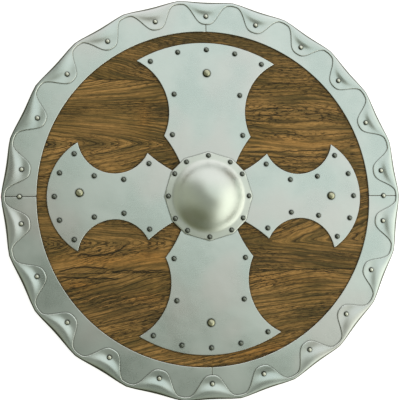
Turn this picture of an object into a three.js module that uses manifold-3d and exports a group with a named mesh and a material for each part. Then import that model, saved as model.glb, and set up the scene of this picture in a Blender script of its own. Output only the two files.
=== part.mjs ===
// A round wooden shield lying on its back. Four oak boards carry a steel rim in two layers, a cross
// of four steel plates, a domed boss over the hand hole, a wooden grip and the rivets through them.
// Millimetres, +Z up out of the face, origin on the ground under the middle.
import * as THREE from "three";
import { mergeVertices } from "three/addons/utils/BufferGeometryUtils.js";
import Module from "manifold-3d";

const wasm = await Module();
wasm.setup();

// Sizes of the whole
const ACROSS_FLATS = 610; // over the rim, from the middle of one lobe to the opposite one
const LOBES = 22; // lobes of the wavy band, and flats of its outer edge
const BOARD_THICKNESS = 12;
const SHEET = 1.2; // every steel sheet
const FIT = 0.3; // gap between pieces that touch
const JOINTS = [178, 30, -114]; // heights on the face of the joints between the boards

// Rim: the band's widths are measured inwards from the flats of the outer edge
const LOBE_WIDTH = 36.5;
const TROUGH_WIDTH = 2.6;
const RIM_PLATE_BORDER = 11.5; // of the lower layer, past the lobes' tips
const RIM_RIVET_INSET = 12.5; // from the lobes' tips
const WAVE_SQUARENESS = 0.38; // 0 is a plain sine, more makes the sides of each lobe steeper
const SHOULDER_RADIUS = 5; // outside, where the band turns down over the edge
const HEEL_RADIUS = 3; // outside, where it turns under the boards
const FOLD_WIDTH = 14; // what lies under the boards
const EDGE_PLAY = 1.4; // between the boards' edge and the band's wall
const BLANK_BORDER = 5; // of the band, cut away past the lobes' tips

// Boss and hand hole
const DOME_RADIUS = 51;
const DOME_HEIGHT = 30;
const DOME_FULLNESS = 1.5; // power of the dome's profile: 1 is an ellipse, more is nearer a cone
const COVE_WIDTH = 5; // of the hollow curve between the dome and the flange
const COVE_END = 22; // degrees up the dome where it ends
const FLANGE_WIDTH = 17; // from the dome to the corners of the twelve-sided flange
const BOSS_RIVET_INSET = 5.8; // from those corners
const SIDE_RIVET_ANGLE = 33; // of the outer two boss rivets from the middle line of each arm
const HOLE_BORDER = 4; // of wood inside the dome's foot
const PLATE_BORDER = 6; // of wood between the hand hole and the cross plates

// Grip behind the boss
const GRIP_WIDTH = 26;
const GRIP_THICKNESS = 18;
const TONGUE_THICKNESS = 5.5; // of the flat ends let into the boards
const TONGUE_END = 12; // from the rivet's middle to the tongue's end

// Cross plates: half is across the arm, back is from the plate's outer edge, beyond is from the
// flange's corners, and share is of the way from the cusp to the tip
const TALL_PLATE = {
  edgeGap: 18, // wood between the plate and the rim
  tip: { half: 108, back: 31 },
  waist: { half: 59.3, share: 0.326 },
  cusp: { half: 67.4, beyond: 24.3 },
  hollow: { half: 54, beyond: 5 },
  tuck: 46, // angle from the middle line where the side reaches the inner end
  largeBack: 48,
  sideRivets: [
    { from: "waist", outwards: 27, inset: 7.9 },
    { from: "cusp", outwards: 1.9, inset: 12.6 },
  ],
};
const WIDE_PLATE = {
  edgeGap: 15,
  tip: { half: 81.2, back: 45 },
  waist: { half: 34.5, share: 0.494 },
  cusp: { half: 65.8, beyond: 24.9 },
  hollow: { half: 52, beyond: 8 },
  tuck: 38,
  largeBack: 47.5,
  sideRivets: [
    { from: "waist", outwards: 28.6, inset: 3.8 },
    { from: "waist", outwards: -15.2, inset: 9 },
    { from: "cusp", outwards: -1.9, inset: 16.2 },
  ],
};
const EDGE_RIVETS = 5; // in a row along the outer edge of each plate
const EDGE_RIVET_INSET = 10.8;
const EDGE_RIVET_SPREAD = 0.84; // of the angle between the tips

// Rivets
const SMALL_RIVET = { head: 3.7, height: 2.4, shank: 1.6, tail: 2.9, sides: 6 };
const LARGE_RIVET = { head: 6.1, height: 3.6, shank: 2.2, tail: 4, sides: 8 };
const HEAD_BEND = { out: 0.72, up: 0.7 }; // shares of a head's radius and height
const HEAD_SINK = 0.4; // of a small head that is one with its plate
const LEFT_RIVET_RISE = 5.5; // of the left large rivet, above its arm's middle line

// Smoothness
const ARC_STEPS = 7;
const RIM_SIDES = 44;
const HOLE_SIDES = 22;
const BAR_SIDES = 12;
const DOME_SIDES = 24;
const DOME_STEPS = 6;
const COVE_STEPS = 2;
const SHOULDER_STEPS = 3;
const HEEL_STEPS = 2;
const WAVE_STEPS = 8; // in each lobe

// Heights of the layers
const BOARD_BOTTOM = SHEET + FIT;
const BOARD_TOP = BOARD_BOTTOM + BOARD_THICKNESS;
const PLATE_BOTTOM = BOARD_TOP + FIT;
const PLATE_TOP = PLATE_BOTTOM + SHEET;
const OVER_BOTTOM = PLATE_TOP + FIT;
const OVER_TOP = OVER_BOTTOM + SHEET;
const TAIL_HEIGHT = SHEET - FIT; // of a rivet under the boards, so that it stays off the ground
const THROUGH = 4 * OVER_TOP; // length about the ground that passes every layer

// Radii that follow
const PITCH = (2 * Math.PI) / LOBES;
const FLAT_RADIUS = ACROSS_FLATS / 2;
const CORNER_RADIUS = FLAT_RADIUS / Math.cos(PITCH / 2);
const BOARD_RADIUS = CORNER_RADIUS - SHEET - EDGE_PLAY;
const RIM_PLATE_OUTER = CORNER_RADIUS - SHOULDER_RADIUS + SHEET - FIT;
const LOBE_RADIUS = FLAT_RADIUS - LOBE_WIDTH;
const RIM_PLATE_INNER = LOBE_RADIUS - RIM_PLATE_BORDER;
const RIM_RIVET_RADIUS = LOBE_RADIUS + RIM_RIVET_INSET;
const FLANGE_RADIUS = DOME_RADIUS + FLANGE_WIDTH;
const BOSS_RIVET_RADIUS = FLANGE_RADIUS - BOSS_RIVET_INSET;
const HAND_HOLE_RADIUS = DOME_RADIUS - HOLE_BORDER;
const PLATE_INNER = HAND_HOLE_RADIUS + PLATE_BORDER;
const SIDE_RIVET_TURN = THREE.MathUtils.degToRad(SIDE_RIVET_ANGLE);

const oak = new THREE.MeshStandardMaterial({ color: 0x6d4a24, roughness: 0.55, metalness: 0 });
const gripWood = new THREE.MeshStandardMaterial({ color: 0x7a5630, roughness: 0.6, metalness: 0 });
const steel = new THREE.MeshStandardMaterial({ color: 0xb9c4be, roughness: 0.35, metalness: 1 });
const darkSteel = new THREE.MeshStandardMaterial({ color: 0x5a5f5a, roughness: 0.35, metalness: 1 });
const brass = new THREE.MeshStandardMaterial({ color: 0x9c9674, roughness: 0.35, metalness: 1 });

const shield = new THREE.Group();

// A geometry as a solid that can be joined and cut
function toSolid(geometry) {
  const bare = geometry.clone();
  bare.deleteAttribute("normal");
  bare.deleteAttribute("uv");
  const merged = mergeVertices(bare, 1e-4);
  return new wasm.Manifold(
    new wasm.Mesh({
      numProp: 3,
      vertProperties: new Float32Array(merged.attributes.position.array),
      triVerts: new Uint32Array(merged.index.array),
    }),
  );
}

// A solid as a geometry with flat faces
function toGeometry(solid) {
  const mesh = solid.getMesh();
  const shared = new THREE.BufferGeometry();
  shared.setAttribute("position", new THREE.BufferAttribute(mesh.vertProperties, 3));
  shared.setIndex(new THREE.BufferAttribute(mesh.triVerts, 1));
  const flat = shared.toNonIndexed();
  flat.computeVertexNormals();
  return flat;
}

function addPiece(name, geometry, material, parent = shield) {
  const mesh = new THREE.Mesh(geometry, material);
  mesh.name = name;
  parent.add(mesh);
  return mesh;
}

function cut(solid, tools) {
  return tools.reduce((left, tool) => left.subtract(tool), solid);
}

// A point at a radius and an angle on the face
function polar(radius, angle) {
  return new THREE.Vector2(radius * Math.cos(angle), radius * Math.sin(angle));
}

function polygon(radius, sides, turn) {
  return Array.from({ length: sides }, (_, i) => polar(radius, turn + (2 * Math.PI * i) / sides));
}

// An upright prism on an outline, from one height to another
function prism(outline, bottom, top, hole = null) {
  const shape = new THREE.Shape(outline);
  if (hole) shape.holes.push(new THREE.Path(hole));
  const geometry = new THREE.ExtrudeGeometry(shape, { depth: top - bottom, bevelEnabled: false });
  return toSolid(geometry.translate(0, 0, bottom));
}

function box(low, high) {
  const size = new THREE.Vector3().subVectors(high, low);
  const middle = new THREE.Vector3().addVectors(low, high).multiplyScalar(0.5);
  return toSolid(new THREE.BoxGeometry(size.x, size.y, size.z).translate(middle.x, middle.y, middle.z));
}

// A turned geometry about the upright axis, from a profile of radius and height
function turned(profile, sides, turn = 0) {
  const points = profile.map(([r, z]) => new THREE.Vector2(r, z));
  return new THREE.LatheGeometry(points, sides, turn).rotateX(Math.PI / 2);
}

// A round passage for a rivet's shank, with the same sides as the shank
function bore(place, rivet) {
  const radius = rivet.shank + FIT;
  const tool = new THREE.CylinderGeometry(radius, radius, THROUGH, rivet.sides);
  return toSolid(tool.rotateX(Math.PI / 2).translate(place.x, place.y, 0));
}

// The arc from a to c through b: its middle, radius, first angle and sweep
function arcOf(a, b, c) {
  const ab = new THREE.Vector2().subVectors(b, a);
  const ac = new THREE.Vector2().subVectors(c, a);
  const cross = 2 * ab.cross(ac);
  const centre = new THREE.Vector2(
    a.x + (ac.y * ab.lengthSq() - ab.y * ac.lengthSq()) / cross,
    a.y + (ab.x * ac.lengthSq() - ac.x * ab.lengthSq()) / cross,
  );
  const from = Math.atan2(a.y - centre.y, a.x - centre.x);
  let sweep = Math.atan2(c.y - centre.y, c.x - centre.x) - from;
  if (cross > 0 && sweep < 0) sweep += 2 * Math.PI;
  if (cross < 0 && sweep > 0) sweep -= 2 * Math.PI;
  return { centre, radius: centre.distanceTo(a), from, sweep };
}

// Points of that arc, without its last one
function arcThrough(a, b, c) {
  const { centre, radius, from, sweep } = arcOf(a, b, c);
  return Array.from({ length: ARC_STEPS }, (_, i) =>
    polar(radius, from + (sweep * i) / ARC_STEPS).add(centre),
  );
}

// Radius of the band's wavy inner edge at an angle
function waveRadius(angle) {
  const middle = FLAT_RADIUS - (LOBE_WIDTH + TROUGH_WIDTH) / 2;
  const swing = (LOBE_WIDTH - TROUGH_WIDTH) / 2;
  const wave = Math.cos(LOBES * (angle - Math.PI / 2));
  return middle - swing * wave * (1 + WAVE_SQUARENESS * (1 - wave * wave));
}

// Places of the rivets: one in each lobe, and one where a joint of the lower rim layer lies bare in
// a trough
const lobeRivets = Array.from({ length: LOBES }, (_, i) => polar(RIM_RIVET_RADIUS, Math.PI / 2 + i * PITCH));
const seamRivets = [Math.PI, 0]
  .filter((angle) => waveRadius(angle) > RIM_RIVET_RADIUS + SMALL_RIVET.head + FIT)
  .map((angle) => polar(RIM_RIVET_RADIUS, angle));
const armTurns = [0, 1, 2, 3].map((i) => (i * Math.PI) / 2);
const bossRivets = armTurns.flatMap((turn) =>
  [-SIDE_RIVET_TURN, 0, SIDE_RIVET_TURN].map((side) => polar(BOSS_RIVET_RADIUS, turn + side)),
);
const arms = [
  { name: "top", plate: TALL_PLATE, turn: Math.PI / 2, aside: 0 },
  { name: "left", plate: WIDE_PLATE, turn: Math.PI, aside: -LEFT_RIVET_RISE },
  { name: "bottom", plate: TALL_PLATE, turn: -Math.PI / 2, aside: 0 },
  { name: "right", plate: WIDE_PLATE, turn: 0, aside: 0 },
];

function plateReach(plate) {
  return RIM_PLATE_INNER - plate.edgeGap;
}

// Place of an arm's large rivet, with the arm along X
function largePlace({ plate, aside }) {
  return new THREE.Vector2(plateReach(plate) - plate.largeBack, aside);
}

const largeRivets = arms.map((arm) => largePlace(arm).rotateAround(new THREE.Vector2(), arm.turn));

// A rivet from a peened tail under one height to a domed head on another
function rivetGeometry(rivet, back, seat) {
  const under = seat + FIT;
  const tailTop = back - FIT;
  return turned(
    [
      [0, tailTop - TAIL_HEIGHT],
      [rivet.tail, tailTop],
      [rivet.shank, tailTop],
      [rivet.shank, under],
      [rivet.head, under],
      [rivet.head * HEAD_BEND.out, under + rivet.height * HEAD_BEND.up],
      [0, under + rivet.height],
    ],
    rivet.sides,
  );
}

function addRivets(prefix, places, rivet, seat, material) {
  const row = new THREE.Group();
  shield.add(row);
  places.forEach((place, i) => {
    const name = `${prefix}_${String(i + 1).padStart(2, "0")}`;
    addPiece(name, rivetGeometry(rivet, BOARD_BOTTOM, seat), material, row).position.set(place.x, place.y, 0);
  });
}

// The boards: one round panel sawn along the joints, bored for every rivet that passes through
function addBoards() {
  const panel = prism(polygon(BOARD_RADIUS, LOBES, PITCH / 2 + Math.PI / 2), BOARD_BOTTOM, BOARD_TOP);
  const handHole = prism(polygon(HAND_HOLE_RADIUS, HOLE_SIDES, 0), 0, OVER_TOP);
  const tools = [handHole, gripSeat()];
  for (const place of [...lobeRivets, ...seamRivets, ...bossRivets]) tools.push(bore(place, SMALL_RIVET));
  for (const place of largeRivets) tools.push(bore(place, LARGE_RIVET));
  const drilled = cut(panel, tools);
  const edges = [FLAT_RADIUS, ...JOINTS, -FLAT_RADIUS];
  for (let i = 0; i < edges.length - 1; i++) {
    const low = new THREE.Vector3(-CORNER_RADIUS, edges[i + 1] + FIT / 2, 0);
    const high = new THREE.Vector3(CORNER_RADIUS, edges[i] - FIT / 2, OVER_TOP);
    addPiece(`board_${i + 1}`, toGeometry(drilled.intersect(box(low, high))), oak);
  }
}

// The rebate in the boards' back that takes the grip's flat ends
function gripSeat() {
  const half = GRIP_WIDTH / 2 + FIT;
  const end = BOSS_RIVET_RADIUS + TONGUE_END + FIT;
  return box(
    new THREE.Vector3(-half, -end, 0),
    new THREE.Vector3(half, end, BOARD_BOTTOM + TONGUE_THICKNESS + FIT),
  );
}

// The grip: a rounded bar across the hand hole on a flat tongue that lies in the boards' back
function addGrip() {
  const half = GRIP_WIDTH / 2;
  const end = BOSS_RIVET_RADIUS + TONGUE_END;
  const tongue = box(
    new THREE.Vector3(-half, -end, BOARD_BOTTOM),
    new THREE.Vector3(half, end, BOARD_BOTTOM + TONGUE_THICKNESS),
  );
  const barLength = 2 * Math.sqrt(HAND_HOLE_RADIUS ** 2 - (half + FIT) ** 2) - 2 * FIT;
  const bar = new THREE.CylinderGeometry(half, half, barLength, BAR_SIDES)
    .rotateY(Math.PI / BAR_SIDES)
    .scale(1, 1, GRIP_THICKNESS / GRIP_WIDTH)
    .translate(0, 0, BOARD_BOTTOM + GRIP_THICKNESS / 2);
  const body = tongue.add(toSolid(bar));
  const ends = [Math.PI / 2, -Math.PI / 2].map((angle) => bore(polar(BOSS_RIVET_RADIUS, angle), SMALL_RIVET));
  addPiece("grip", toGeometry(cut(body, ends)), gripWood);
}

// The lower rim layer: a flat ring in four quarters, butted under a rivet at each quarter
function addRimPlates() {
  const outline = polygon(RIM_PLATE_OUTER, LOBES, PITCH / 2 + Math.PI / 2);
  const inside = polygon(RIM_PLATE_INNER, RIM_SIDES, 0);
  const ring = prism(outline, PLATE_BOTTOM, PLATE_TOP, inside);
  const drilled = cut(ring, [...lobeRivets, ...seamRivets].map((place) => bore(place, SMALL_RIVET)));
  const quarters = { upper_right: [1, 1], upper_left: [-1, 1], lower_left: [-1, -1], lower_right: [1, -1] };
  for (const [name, [sx, sy]] of Object.entries(quarters)) {
    const near = new THREE.Vector3((sx * FIT) / 2, (sy * FIT) / 2, 0);
    const far = new THREE.Vector3(sx * CORNER_RADIUS, sy * CORNER_RADIUS, OVER_TOP);
    const part = box(near.clone().min(far), near.clone().max(far));
    addPiece(`rim_plate_${name}`, toGeometry(drilled.intersect(part)), steel);
  }
}

// Points of a quarter turn about a middle, from one angle to another in degrees
function quarterTurn(middleRadius, middleHeight, radius, from, to, steps) {
  return Array.from({ length: steps + 1 }, (_, i) => {
    const angle = THREE.MathUtils.degToRad(from + ((to - from) * i) / steps);
    return [middleRadius + radius * Math.cos(angle), middleHeight + radius * Math.sin(angle)];
  });
}

// The upper rim layer: a band turned down over the boards' edge and folded under them, its inner
// edge cut in waves
function addRimBand() {
  const shoulder = [CORNER_RADIUS - SHOULDER_RADIUS, OVER_TOP - SHOULDER_RADIUS];
  const heel = [CORNER_RADIUS - HEEL_RADIUS, HEEL_RADIUS];
  const inward = LOBE_RADIUS - BLANK_BORDER;
  const underEdge = CORNER_RADIUS - FOLD_WIDTH;
  const profile = [
    [underEdge, SHEET],
    [underEdge, 0],
    ...quarterTurn(...heel, HEEL_RADIUS, -90, 0, HEEL_STEPS),
    ...quarterTurn(...shoulder, SHOULDER_RADIUS, 0, 90, SHOULDER_STEPS),
    [inward, OVER_TOP],
    [inward, OVER_BOTTOM],
    ...quarterTurn(...shoulder, SHOULDER_RADIUS - SHEET, 90, 0, SHOULDER_STEPS),
    ...quarterTurn(...heel, HEEL_RADIUS - SHEET, 0, -90, HEEL_STEPS),
    [underEdge, SHEET],
  ];
  const folded = toSolid(turned(profile, LOBES, PITCH / 2));
  const count = LOBES * WAVE_STEPS;
  const wave = Array.from({ length: count }, (_, i) => {
    const angle = Math.PI / 2 + (2 * Math.PI * i) / count;
    return polar(waveRadius(angle), angle);
  });
  const tools = [prism(wave, PLATE_TOP, OVER_TOP + SHEET)];
  for (const place of lobeRivets) tools.push(bore(place, SMALL_RIVET));
  addPiece("rim_band", toGeometry(cut(folded, tools)), steel);
}

// The corners and low points of one side of a plate, for an arm along +X
function plateSide(plate, side) {
  const point = (along, half) => new THREE.Vector2(along, side * half);
  const tip = point(plateReach(plate) - plate.tip.back, plate.tip.half);
  const cusp = point(FLANGE_RADIUS + plate.cusp.beyond, plate.cusp.half);
  const waist = point(THREE.MathUtils.lerp(cusp.x, tip.x, plate.waist.share), plate.waist.half);
  const hollow = point(FLANGE_RADIUS + plate.hollow.beyond, plate.hollow.half);
  const tuck = polar(PLATE_INNER, side * THREE.MathUtils.degToRad(plate.tuck));
  return { tip, waist, cusp, hollow, tuck };
}

// Places of a plate's small rivets: an even row that keeps off its outer edge, and pairs inside the
// waist and the cusps
function plateRivets(plate, right, top, left) {
  const { centre, radius, from, sweep } = arcOf(right.tip, top, left.tip);
  const places = Array.from({ length: EDGE_RIVETS }, (_, i) => {
    const share = 0.5 + EDGE_RIVET_SPREAD * (i / (EDGE_RIVETS - 1) - 0.5);
    return polar(radius - EDGE_RIVET_INSET, from + sweep * share).add(centre);
  });
  for (const { from: name, outwards, inset } of plate.sideRivets)
    for (const [side, sign] of [[left, 1], [right, -1]])
      places.push(new THREE.Vector2(side[name].x + outwards, side[name].y - sign * inset));
  return places;
}

// One plate of the cross, with its small rivet heads
function addCrossPlate(arm) {
  const { plate, turn, name } = arm;
  const right = plateSide(plate, -1);
  const left = plateSide(plate, 1);
  const top = new THREE.Vector2(plateReach(plate), 0);
  const inner = new THREE.Vector2(PLATE_INNER, 0);
  const outline = [
    ...arcThrough(right.tip, top, left.tip),
    ...arcThrough(left.tip, left.waist, left.cusp),
    ...arcThrough(left.cusp, left.hollow, left.tuck),
    ...arcThrough(left.tuck, inner, right.tuck),
    ...arcThrough(right.tuck, right.hollow, right.cusp),
    ...arcThrough(right.cusp, right.waist, right.tip),
  ];
  const heads = plateRivets(plate, right, top, left).map(plateHead);
  const body = heads.reduce((whole, head) => whole.add(head), prism(outline, PLATE_BOTTOM, PLATE_TOP));
  const passages = [-SIDE_RIVET_TURN, 0, SIDE_RIVET_TURN].map((side) =>
    bore(polar(BOSS_RIVET_RADIUS, side), SMALL_RIVET),
  );
  passages.push(bore(largePlace(arm), LARGE_RIVET));
  addPiece(`cross_plate_${name}`, toGeometry(cut(body, passages)), steel).rotation.z = turn;
}

// A small domed head that is one with the plate under it
function plateHead(place) {
  const { head, height, sides } = SMALL_RIVET;
  const profile = [
    [0, PLATE_TOP - HEAD_SINK],
    [head, PLATE_TOP - HEAD_SINK],
    [head * HEAD_BEND.out, PLATE_TOP + height * HEAD_BEND.up],
    [0, PLATE_TOP + height],
  ];
  return toSolid(turned(profile, sides).translate(place.x, place.y, 0));
}

// The other face of a sheet whose outer face has this profile: each point moved inwards along the
// mean of its two edges' normals
function innerFace(profile, thickness) {
  return profile.map(([r, z], i) => {
    const [r0, z0] = profile[Math.max(i - 1, 0)];
    const [r1, z1] = profile[Math.min(i + 1, profile.length - 1)];
    const length = Math.hypot(r1 - r0, z1 - z0);
    return [Math.max(r + ((z0 - z1) / length) * thickness, 0), z + ((r1 - r0) / length) * thickness];
  });
}

// The boss: a thin dome with a hollow curve at its foot and a twelve-sided flange
function addBoss() {
  const dome = Array.from({ length: DOME_STEPS + 1 }, (_, i) => {
    const angle = THREE.MathUtils.degToRad(COVE_END + ((90 - COVE_END) * i) / DOME_STEPS);
    return [DOME_RADIUS * Math.cos(angle), OVER_TOP + DOME_HEIGHT * Math.sin(angle) ** DOME_FULLNESS];
  });
  dome[DOME_STEPS][0] = 0;
  const cove = new THREE.QuadraticBezierCurve(
    new THREE.Vector2(DOME_RADIUS + COVE_WIDTH, OVER_TOP),
    new THREE.Vector2(DOME_RADIUS, OVER_TOP),
    new THREE.Vector2(...dome[0]),
  );
  const foot = cove.getPoints(COVE_STEPS).map(({ x, y }) => [x, y]);
  const outer = [[FLANGE_RADIUS + SHEET, OVER_TOP], ...foot, ...dome.slice(1)];
  const inner = innerFace(outer, SHEET);
  inner[0][1] = OVER_BOTTOM;
  inner[inner.length - 1] = [0, OVER_TOP + DOME_HEIGHT - SHEET];
  const shell = toSolid(turned([...inner.reverse(), ...outer], DOME_SIDES));
  const corners = bossRivets.map((place) => place.clone().setLength(FLANGE_RADIUS));
  const flange = prism(corners, 0, OVER_TOP + 2 * DOME_HEIGHT);
  const passages = bossRivets.map((place) => bore(place, SMALL_RIVET));
  addPiece("boss", toGeometry(cut(shell.intersect(flange), passages)), steel);
}

addBoards();
addGrip();
addRimPlates();
addRimBand();
arms.forEach(addCrossPlate);
addBoss();
addRivets("rim_rivet", lobeRivets, SMALL_RIVET, OVER_TOP, steel);
addRivets("seam_rivet", seamRivets, SMALL_RIVET, PLATE_TOP, steel);
addRivets("boss_rivet", bossRivets, SMALL_RIVET, OVER_TOP, darkSteel);
addRivets("large_rivet", largeRivets, LARGE_RIVET, PLATE_TOP, brass);

export default shield;
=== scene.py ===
import math

import bmesh
import bpy
from mathutils import Matrix, Vector


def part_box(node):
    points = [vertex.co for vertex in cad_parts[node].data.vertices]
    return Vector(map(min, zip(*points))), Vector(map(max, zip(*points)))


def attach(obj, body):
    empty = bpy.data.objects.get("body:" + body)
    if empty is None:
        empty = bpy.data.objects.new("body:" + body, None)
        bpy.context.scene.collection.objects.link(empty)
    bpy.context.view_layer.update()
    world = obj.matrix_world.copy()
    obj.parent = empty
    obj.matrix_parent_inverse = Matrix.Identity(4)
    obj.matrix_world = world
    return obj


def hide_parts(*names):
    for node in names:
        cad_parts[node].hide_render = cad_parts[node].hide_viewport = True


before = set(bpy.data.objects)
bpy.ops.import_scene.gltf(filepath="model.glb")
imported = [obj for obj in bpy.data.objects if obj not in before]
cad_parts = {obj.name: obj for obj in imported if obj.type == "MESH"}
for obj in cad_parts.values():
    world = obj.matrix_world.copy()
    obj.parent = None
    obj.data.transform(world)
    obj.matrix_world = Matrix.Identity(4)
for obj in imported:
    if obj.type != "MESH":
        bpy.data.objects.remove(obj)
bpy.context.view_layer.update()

# A round wooden shield lying on its back: oak boards, a steel rim in two layers, a steel cross,
# a domed boss, a wooden grip behind it, and domed rivets. Everything is in metres.
MM = 0.001

# Sizes that the frame gives
band_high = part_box("rim_band")[1]
FLAT_RADIUS = band_high.y
CORNER_RADIUS = band_high.x
BAND_TOP = band_high.z
plate_low, plate_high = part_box("rim_plate_upper_left")
PLATE_BOTTOM = plate_low.z
PLATE_TOP = plate_high.z
BOARD_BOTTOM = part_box("board_1")[0].z
SHEET = PLATE_TOP - PLATE_BOTTOM
BAND_BOTTOM = BAND_TOP - SHEET
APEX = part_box("boss")[1].z
GRIP_LOW, GRIP_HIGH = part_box("grip")

# Rim: its widths are measured inwards from the flats of its outer edge
LOBES = 22
PITCH = 2 * math.pi / LOBES
LOBE_WIDTH = 36.5 * MM
TROUGH_WIDTH = 2.6 * MM
WAVE_SQUARENESS = 0.38
RIM_PLATE_BORDER = 11.5 * MM
RIM_RIVET_INSET = 12.5 * MM
LOBE_RADIUS = FLAT_RADIUS - LOBE_WIDTH
RIM_PLATE_INNER = LOBE_RADIUS - RIM_PLATE_BORDER
RIM_RIVET_RADIUS = LOBE_RADIUS + RIM_RIVET_INSET
RIM_PLATE_OUTER = FLAT_RADIUS - 1.5 * MM
RIM_PLATE_JOINT = 0.35 * MM
RIM_PLATE_STEPS = 90

# Joints between the boards, up the face
JOINTS = [178 * MM, 30 * MM, -114 * MM]

# Section of the rim's band: a rounded wavy edge, a dip at each rivet, a crest near the outer edge, a
# shoulder that turns down over the boards, and a heel with a fold under them. The shoulder has one
# width at the troughs and another at the lobes.
EDGE_ROUND = 0.58 * MM
EDGE_MIDDLE = 0.3
LOBE_DENT = 1.0 * MM
CORNER_DENT = 0.5 * MM
CORNER_START = 0.7
LEAST_TOP = 5.6 * MM
LEAST_FLAT = 0.2 * MM
DIP_DEPTH = 0.7 * MM
DIP_WIDTH = 7 * MM
CREST_HEIGHT = 1.7 * MM
CREST_WIDTH = 6.5 * MM
TROUGH_CREST = 0.05
SHOULDER_WIDTH = (4 * MM, 13 * MM)
SHOULDER_DROP = 2.3 * MM
HEEL_RADIUS = 3 * MM
FOLD_WIDTH = 14 * MM
BAND_STEPS = 28
TOP_STEPS = 14
SHOULDER_STEPS = 7
HEEL_STEPS = 4
EDGE_FACES = 3

# Boss
DOME_RADIUS = 51 * MM
FLANGE_RADIUS = DOME_RADIUS + 17 * MM
BOSS_RIVET_RADIUS = FLANGE_RADIUS - 5.8 * MM
SIDE_RIVET_TURN = math.radians(33)
HAND_HOLE_RADIUS = DOME_RADIUS - 4 * MM
PLATE_INNER = HAND_HOLE_RADIUS + 6 * MM

# Section of the boss: the dome's fullness is 1 for an ellipse and more nearer a cone, and the cove is
# the hollow at its foot
DOME_FULLNESS = 1.5
COVE_START = 45 * MM
COVE_END = 57 * MM
FLANGE_RISE = 0.9 * MM
FLANGE_FALL = 1.2
FLANGE_BEVEL = 0.3 * MM
APEX_HOLE = 0.8 * MM
LEAST_INSIDE = 0.3 * MM
BOSS_CREASE = math.radians(50)
BOSS_SIDES = 120
DOME_STEPS = 26
COVE_STEPS = 14
FLANGE_STEPS = 5

# Cross plates, with the same outline points as the solids
TALL_PLATE = {
    "reach": RIM_PLATE_INNER - 18 * MM, "tip": (108 * MM, 31 * MM), "waist": (59.3 * MM, 0.326),
    "cusp": (67.4 * MM, 24.3 * MM), "hollow": (54 * MM, 5 * MM), "tuck": 46,
    "sides": [("waist", 27 * MM, 7.9 * MM), ("cusp", 1.9 * MM, 12.6 * MM)],
}
WIDE_PLATE = {
    "reach": RIM_PLATE_INNER - 15 * MM, "tip": (81.2 * MM, 45 * MM), "waist": (34.5 * MM, 0.494),
    "cusp": (65.8 * MM, 24.9 * MM), "hollow": (52 * MM, 8 * MM), "tuck": 38,
    "sides": [("waist", 28.6 * MM, 3.8 * MM), ("waist", -15.2 * MM, 9 * MM),
              ("cusp", -1.9 * MM, 16.2 * MM)],
}
EDGE_RIVETS = 5
EDGE_RIVET_INSET = 10.8 * MM
EDGE_RIVET_SPREAD = 0.84
ARMS = {
    "top": (TALL_PLATE, math.pi / 2), "left": (WIDE_PLATE, math.pi),
    "bottom": (TALL_PLATE, -math.pi / 2), "right": (WIDE_PLATE, 0.0),
}

# Rivets: head radius and height, shank radius, tail radius. The tail's tip and taper and the head's
# foot and top are shares of those radii.
SMALL_RIVET = (3.75 * MM, 2.4 * MM, 1.6 * MM, 2.9 * MM)
LARGE_RIVET = (6.2 * MM, 3.8 * MM, 2.2 * MM, 4.0 * MM)
TAIL_HEIGHT = 0.9 * MM
TAIL_GAP = 0.3 * MM
TAIL_EDGE = 0.45 * MM
TAIL_TIP = 0.15
TAIL_TAPER = 0.7
HEAD_GAP = 0.12 * MM
HEAD_RIM = 0.35 * MM
HEAD_SINK = 0.3 * MM
HEAD_FOOT = 0.93
HEAD_TOP = 0.12
HEAD_STEPS = 8
SMALL_SIDES = 24
LARGE_SIDES = 32

# Grip: a rounded bar with a slight waist, sinking to a flat tongue at each end. The powers are those
# of its section, 2 for an ellipse and more nearer a rectangle.
TONGUE_HEIGHT = 5.5 * MM
BAR_HALF = 38 * MM
BAR_SINK = 7 * MM
WAIST_DEPTH = 0.10
WAIST_LENGTH = 80 * MM
BAR_POWER = 2.4
TONGUE_POWER = 10.4
GRIP_CREASE = math.radians(60)
GRIP_STEPS = 64
GRIP_SIDES = 32

# Camera of the photograph, for a square picture
CAMERA_TURN = Vector((-0.0847, 0.1529, 0.0103))
CAMERA_PLACE = Vector((-172.9 * MM, -93.0 * MM, 1027.2 * MM + PLATE_TOP))
FOCAL_PIXELS = 685.3
PHOTO_PIXELS = 400
SENSOR = 36.0


def add_camera():
    data = bpy.data.cameras.new("camera")
    data.sensor_width = SENSOR
    data.sensor_fit = "HORIZONTAL"
    data.lens = SENSOR * FOCAL_PIXELS / PHOTO_PIXELS
    camera = bpy.data.objects.new("camera", data)
    turn = Matrix.Rotation(CAMERA_TURN.length, 3, CAMERA_TURN.normalized()).transposed()
    camera.matrix_world = Matrix.Translation(CAMERA_PLACE) @ turn.to_4x4()
    bpy.context.scene.collection.objects.link(camera)
    bpy.context.scene.camera = camera


add_camera()


# Node graphs

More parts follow.
